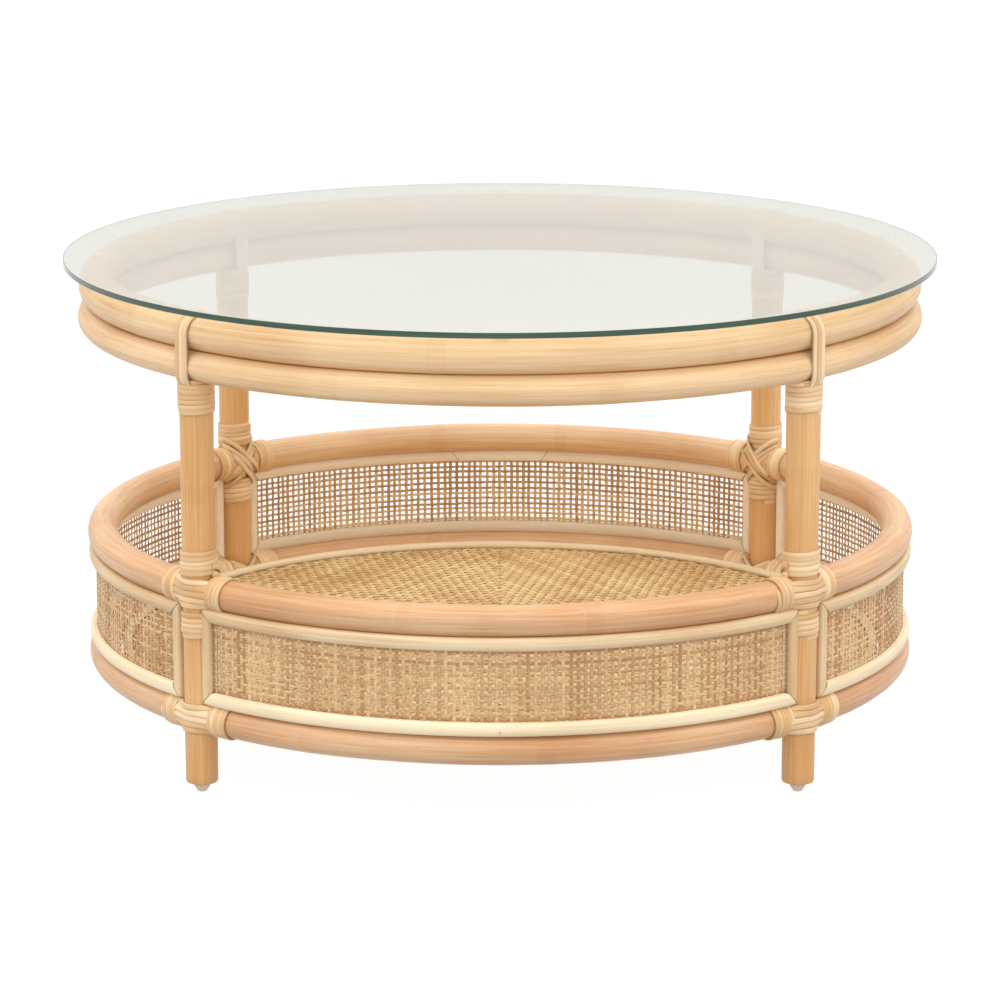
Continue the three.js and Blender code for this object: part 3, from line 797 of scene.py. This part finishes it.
# ---- Battens ----
def batten(skin, angle, inside, ends, width, place, face, tone, mark, joints):
    """One mitred batten of a frame. inside is its inner face's radius, ends are two [along, height] points
    on its outer edge, place is its side of the frame, and face is 1 where its crown faces outwards, -1
    inwards. joints are the places of slanted joints, from its middle."""
    start, end = np.array(ends, float)
    span = np.linalg.norm(end - start)
    crown = [[0.55, 0.0], [0.82, 0.1], [0.97, 0.3], [1.0, 0.5], [0.97, 0.7], [0.82, 0.9], [0.55, 1.0]]
    profile = [[0.0, 0.0], *crown, [0.0, 1.0]]
    sides = len(profile)
    inward = -1 if place in ("top", "right") else 1
    column = 1 if place in ("top", "bottom") else 0
    flip = (face > 0) != (place in ("top", "left"))

    def scarf(joint, offset):
        return span / 2 + joint - np.sign(joint) * SCARF_SLANT * (offset - 0.5)

    bounds = [None, *joints, None]
    for number, (first, last) in enumerate(zip(bounds[:-1], bounds[1:])):
        steps = max(2, int(span / len(bounds[1:]) / (6 * MM)) + 1)
        share = np.linspace(0, 1, steps)
        share = np.concatenate([[0, 0.15 * share[1]], share[1:-1], [1 - 0.15 * share[1], 1]])
        steps = len(share)
        points = np.empty((steps, sides, 3))
        grain = np.empty_like(points)
        for index, (depth, offset) in enumerate(profile):
            cut = offset * width
            low = cut if first is None else scarf(first, offset) + MITRE_GAP
            high = span - cut if last is None else scarf(last, offset)
            along = low + share * (high - low)
            spot = start + (end - start) / span * along[:, None]
            spot[:, column] += inward * cut
            radius = inside + (depth if face > 0 else 1 - depth) * BATTEN_THICKNESS
            outwards = around_table(angle + spot[:, 0] / PANEL_OUTSIDE)[0]
            points[:, index] = outwards * radius + UP * spot[:, 1:]
            grain[:, index, 0] = along
            grain[:, index, 1:] = cut, depth * BATTEN_THICKNESS
        marks = np.full((steps, sides), mark)
        marks[[0, -1]] = 0.9
        faces = tube_faces(steps, sides, forwards=not flip)
        skin.add(points, faces, grain, tone + 0.12 * (number % 2), marks.ravel())


def nail_head(skin, angle, height, radius):
    """A small dark nail head in the face of a batten."""
    outwards, tangent = around_table(angle)
    depths = np.array([[-0.5], [0.1], [0.25]]) * MM
    path = outwards * (radius + depths) + UP * height
    sections = oval(1.5 * MM, 1.5 * MM, 12)[None] * np.array([1.0, 1.0, 0.6])[:, None, None]
    sweep(skin, path, tangent, UP, sections, 0.0, 1.0)


def make_batten_frame(side, angle, layer, face, clearance, seed):
    """Four mitred battens round one woven panel."""
    rng = np.random.default_rng(seed)
    node = f"{layer}_batten_frame_{side}"
    low, high = (point.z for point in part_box(node))
    outside = reach(node)
    half = QUARTER / 2 * PANEL_OUTSIDE - clearance
    inner = layer == "inner"
    top = high - (0.0 if inner else 1.0) * MM
    bottom = low - (1.2 if inner else 0.6) * MM
    skin = Skin()
    reach_along = half - MITRE_GAP
    foot, head = bottom + MITRE_GAP, top - MITRE_GAP
    battens = {
        "top": ([-reach_along, top], [reach_along, top], BATTEN_WIDTH),
        "bottom": ([-reach_along, bottom], [reach_along, bottom], BATTEN_WIDTH),
        "left": ([-half, foot], [-half, head], SIDE_BATTEN_WIDTH),
        "right": ([half, foot], [half, head], SIDE_BATTEN_WIDTH),
    }
    for place, (start, end, width) in battens.items():
        # The outer frames' tones paint shade on the top batten and light on the bottom one.
        tone = BATTEN_PAINTED_LIGHT_TONES[place] + rng.uniform(-0.1, 0.1)
        # Inner frames: painted light on the top battens; the bottom ones are darker, and greyer through their
        # mark.
        if inner:
            tone = INNER_BATTEN_PAINTED_LIGHT_TONES.get(place, tone)
        mark = 0.35 if inner and place == "bottom" else 0.0
        joints = SCARF_PLACES if inner and place == "top" else ()
        batten(skin, angle, outside - BATTEN_THICKNESS, (start, end), width, place, face, tone, mark, joints)
    if not inner:
        nail_head(skin, angle, bottom + 4 * MM, outside)
    look = INNER_BATTEN_PAINTED_LIGHT_LOOK if inner else BATTEN_LOOK
    skin.build(f"{layer}_battens_{side}", [look], [node])


# ---- Weaves ----
def spaced(low, high, pitch, spread, rng):
    """Places from low to high, a pitch apart on average, with the uneven gaps of hand-spaced strands."""
    count = max(2, round((high - low) / pitch))
    gaps = 1 + rng.uniform(-spread, spread, count)
    places = np.concatenate([[0], np.cumsum(gaps)])
    return low + (high - low) * places / places[-1]


def strand(skin, knots, lifts, bend, width, thickness, tone):
    """A strand, with painted light where it lies on top and painted shade where it dips under. knots are its
    crossings' [x, y] places, lifts their heights over the weave's middle, and bend(places, heights) gives the
    arguments of sweep."""
    middle = (knots[1:] + knots[:-1]) / 2
    places = np.empty((2 * len(knots) - 1, 2))
    places[::2], places[1::2] = knots, middle
    heights = np.empty(len(places))
    heights[::2], heights[1::2] = lifts, (lifts[1:] + lifts[:-1]) / 2
    path, out, across = bend(places, heights)
    # Painted light on the parts of the strand that lie on top, painted shade where it dips under.
    tones = tone + 0.3 * heights / thickness
    sweep(skin, path, out, across, oval(thickness, width, 6), tones)


def make_panel(side, angle, seed):
    """A curved panel of open plain weave."""
    rng = np.random.default_rng(seed)
    half = QUARTER / 2 * PANEL_OUTSIDE - 18 * MM
    along = spaced(-half, half, PANEL_PITCH_ALONG, 0.15, rng)
    up = spaced(PANEL_BOTTOM + 2 * MM, PANEL_TOP - 2 * MM, PANEL_PITCH_UP, 0.14, rng)
    wobble = rng.uniform(-0.35, 0.35, (2, len(along), len(up))) * MM
    knots = np.dstack([along[:, None] + wobble[0], up[None, :] + wobble[1]])
    checker = (np.add.outer(np.arange(len(along)), np.arange(len(up))) % 2) * 2 - 1
    middle = PANEL_OUTSIDE - 0.6 * MM
    skin = Skin()

    def bend_upright(places, heights):
        outwards, tangent = around_table(angle + places[:, 0] / PANEL_OUTSIDE)
        return outwards * (middle + heights[:, None]) + UP * places[:, 1:], outwards, tangent

    def bend_level(places, heights):
        path, outwards, _ = bend_upright(places, heights)
        return path, outwards, UP

    uprights = (bend_upright, UPRIGHT_WIDTH, knots, checker)
    levels = (bend_level, LEVEL_WIDTH, knots.swapaxes(0, 1), -checker.T)
    brown_strands = abs(half - abs(along) - BROWN_STRAND_PLACE) < PANEL_PITCH_ALONG
    for (bend, width, rows, signs), browns in ((uprights, brown_strands), (levels, 0 * up)):
        for row, sign, brown in zip(rows, signs, browns):
            size = width * rng.uniform(0.85, 1.15)
            # Each strand's tone varies at random about its panel's painted light and shade.
            tone = 0.05 if brown else PANEL_PAINTED_LIGHT_TONES[side] + rng.uniform(-0.35, 0.35)
            strand(skin, row, sign * STRAND_LIFT, bend, size, STRAND_THICKNESS, tone)
    skin.build(f"woven_panel_{side}", [CANE_LOOK], [f"cane_panel_{side}"])


def lay_backing(skin, mirror, seam, radius, middle):
    """The thin half disc that half of the mat's weave is laid on."""
    turn = np.linspace(-QUARTER, QUARTER, 65)
    edge = np.column_stack([mirror * (seam - radius * np.cos(turn)), radius * np.sin(turn), 0 * turn])
    slab = np.vstack([edge + UP * (middle + height) for height in MAT_BACKING])
    skin.add(slab, tube_faces(2, len(turn), forwards=mirror < 0), slab, 0.3)


def make_mat_half(name, mirror, seed):
    """Half of the shelf's closed weave. Its strands slant to the seam down the middle of the shelf."""
    rng = np.random.default_rng(seed)
    radius = reach("shelf_mat") - 0.5 * MM
    middle = sum(corner.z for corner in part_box("shelf_mat")) / 2
    main = np.array([math.cos(MAT_ANGLE), math.sin(MAT_ANGLE)])
    cross = np.array([-math.sin(MAT_ANGLE), math.cos(MAT_ANGLE)])
    rows = spaced(-radius, radius, MAT_PITCH, 0.08, rng)
    seam = -0.3 * MM
    skin = Skin()

    def flat(places, heights):
        path = np.column_stack([mirror * places[:, 0], places[:, 1], middle + heights])
        return path, UP, np.cross(UP, unit(np.gradient(path, axis=0)))

    def lay(direction, normal, parity, width, wander, tone):
        for index, offset in enumerate(rows):
            half_chord = math.sqrt(max(radius**2 - offset**2, 0))
            at_seam = (seam - offset * normal[0]) / direction[0]
            low, high = -half_chord, half_chord
            if direction[0] > 0:
                high = min(high, at_seam)
            else:
                low = max(low, at_seam)
            if high - low < 12 * MM:
                continue
            inside = (rows > low + 2 * MM) & (rows < high - 2 * MM)
            signs = ((np.arange(len(rows))[inside] + index) % 2 * 2 - 1) * parity
            wave = rng.uniform(-wander, wander, inside.sum())
            distance = np.concatenate([[low], rows[inside], [high]])
            sideways = offset + np.concatenate([[0], wave, [0]])
            lifts = np.concatenate([[0], signs * MAT_LIFT, [0]])
            knots = direction * distance[:, None] + normal * sideways[:, None]
            size = width * rng.uniform(0.92, 1.06)
            strand(skin, knots, lifts, flat, size, MAT_STRAND_THICKNESS, tone + rng.uniform(-0.2, 0.2))

    lay_backing(skin, mirror, seam, radius, middle)
    lay(main, cross, 1, MAT_MAIN_WIDTH, 0.15 * MM, 0.6)
    lay(cross, -main, -1, MAT_CROSS_WIDTH, 1.2 * MM, 0.6)
    skin.build(name, [MAT_LOOK], ["shelf_mat"])


def make_edge_cane():
    """The single cane round the mat."""
    circle, radius, height = pole_sizes("shelf_edge_cane")
    outwards = around_table(np.linspace(0, 2 * math.pi, 300, endpoint=False))[0]
    size = radius + POLE_WANDER * smooth_noise(300, 40, np.random.default_rng(81))
    section = oval(2, 2, 16)[None] * size[:, None, None]
    skin = Skin()
    sweep(skin, outwards * circle + UP * height, outwards, UP, section, 0.5, closed=True)
    skin.build("edge_cane_ring", [EDGE_CANE_LOOK], ["shelf_edge_cane"])


# ---- Assembly ----
make_glass()
make_pads()
make_glides()
make_top_ring("top_ring_upper", "upper_top_ring", (30, 95, 150, 213, 262, 300, 338), 11)
make_top_ring("top_ring_lower", "lower_top_ring", (12, 70, 128, 190, 248, 284, 322), 12)

for number, (corner, angle) in enumerate(CORNERS.items()):
    make_leg(corner, angle, [0.055 + 0.02 * (number % 2), 0.262 + 0.017 * number], 20 + number)
    make_strap(corner, angle, 30 + number)
    make_leg_top_wrap(corner, angle, 40 + number)
    rim = (RIM_HEIGHT, RIM_WRAP_REACH, RIM_WRAP_HEIGHTS, RIM_CROSSING)
    base = (BASE_HEIGHT, BASE_WRAP_REACH, (), BASE_CROSSING)
    make_binding(f"rim_peel_{corner}", f"rim_binding_{corner}", angle, *rim, 50 + number)
    make_binding(f"base_peel_{corner}", f"base_binding_{corner}", angle, *base, 60 + number)

for number, (side, angle) in enumerate(SIDES.items()):
    rim = (RIM_HEIGHT, (0.205 + 0.01 * number, 0.372 - 0.008 * number), RIM_PAINTED_LIGHT_TONES[side])
    base = (BASE_HEIGHT, (0.115 + 0.02 * number, 0.33 + 0.015 * number), BASE_TONE)
    make_basket_pole(f"rim_{side}", f"rim_pole_{side}", angle, *rim, 90 + number)
    make_basket_pole(f"base_{side}", f"base_pole_{side}", angle, *base, 94 + number)
    make_panel(side, angle, 70 + number)
    clearance = FRONT_PANEL_CLEARANCE if side in ("front", "back") else PANEL_CLEARANCE
    make_batten_frame(side, angle, "outer", 1, clearance, 100 + number)
    make_batten_frame(side, angle, "inner", -1, PANEL_CLEARANCE, 110 + number)

make_mat_half("shelf_weave_left", 1, 75)
make_mat_half("shelf_weave_right", -1, 76)
make_edge_cane()
for node in ("shelf_board", "shelf_bearer_front", "shelf_bearer_back"):
    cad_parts[node].data.materials.clear()
    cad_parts[node].data.materials.append(BOARD_LOOK)


# ---- Floor, light and camera ----
def make_floor():
    """A white floor. It doesn't light the table from below: the room's dim lower half does that."""
    recipe = Recipe("floor")
    glow = recipe.node("ShaderNodeEmission", {"Color": (1, 1, 1, 1), "Strength": 0.97}).outputs[0]
    matt = recipe.node("ShaderNodeBsdfDiffuse", {"Color": (0.06, 0.06, 0.06, 1)}).outputs[0]
    both = recipe.node("ShaderNodeAddShader", {0: glow, 1: matt}).outputs[0]
    mesh = bpy.data.meshes.new("floor")
    corners = [(-1, -1), (1, -1), (1, 1), (-1, 1)]
    mesh.from_pydata([(FLOOR_REACH * x, FLOOR_REACH * y, 0) for x, y in corners], [], [(0, 1, 2, 3)])
    mesh.materials.append(recipe.surface(both))
    floor = add_object("floor", mesh)
    floor.visible_diffuse = False


def make_light(name, place, size, power):
    """A square softbox that points at the table, and isn't seen through the glass."""
    light = bpy.data.lights.new(name, "AREA")
    light.shape = "SQUARE"
    light.size = size
    light.energy = power
    lamp = add_object(name, light)
    lamp.visible_transmission = False
    lamp.location = place
    aim = np.array([0, 0, 0.2]) - np.array(place)
    lamp.rotation_euler = Vector(aim).to_track_quat("-Z", "Y").to_euler()


def make_world():
    """A white room, dim below the floor's level, bright above it and brightest overhead."""
    world = bpy.data.worlds.new("studio")
    bpy.context.scene.world = world
    world.use_nodes = True
    tree = world.node_tree
    place = tree.nodes.new("ShaderNodeTexCoord")
    parts = tree.nodes.new("ShaderNodeSeparateXYZ")
    strength = tree.nodes.new("ShaderNodeMath")
    backdrop = tree.nodes["Background"]
    backdrop.inputs["Color"].default_value = (1, 1, 1, 1)
    tree.links.new(place.outputs["Generated"], parts.inputs["Vector"])
    floor_level = (-0.1, 0.02, ROOM_BELOW, ROOM_ABOVE)
    overhead = (0.35, 0.85, 0.0, ROOM_CEILING - ROOM_ABOVE)
    for number, values in enumerate((floor_level, overhead)):
        ramp = tree.nodes.new("ShaderNodeMapRange")
        for socket, value in zip(("From Min", "From Max", "To Min", "To Max"), values):
            ramp.inputs[socket].default_value = value
        tree.links.new(parts.outputs["Z"], ramp.inputs["Value"])
        tree.links.new(ramp.outputs["Result"], strength.inputs[number])
    tree.links.new(strength.outputs["Value"], backdrop.inputs["Strength"])


def make_camera():
    """The camera, in front of the table and looking a little down."""
    data = bpy.data.cameras.new("camera")
    data.lens = CAMERA_LENS
    data.sensor_width = SENSOR_WIDTH
    data.clip_end = 100.0
    camera = add_object("camera", data)
    camera.location = CAMERA_PLACE
    camera.rotation_euler = (QUARTER - CAMERA_TILT, 0, 0)
    bpy.context.scene.camera = camera


make_floor()
make_light("softbox_left", (-3.4, -1.0, 2.2), 2.2, 16.0)
make_light("softbox_right", (3.4, -1.0, 2.2), 2.2, 16.0)
make_light("softbox_above", (0.0, -0.3, 4.0), 2.5, 36.0)
make_light("softbox_front", (0.0, -5.5, 1.9), 2.4, 36.0)
make_world()
make_camera()
bpy.context.scene.view_settings.view_transform = "Standard"
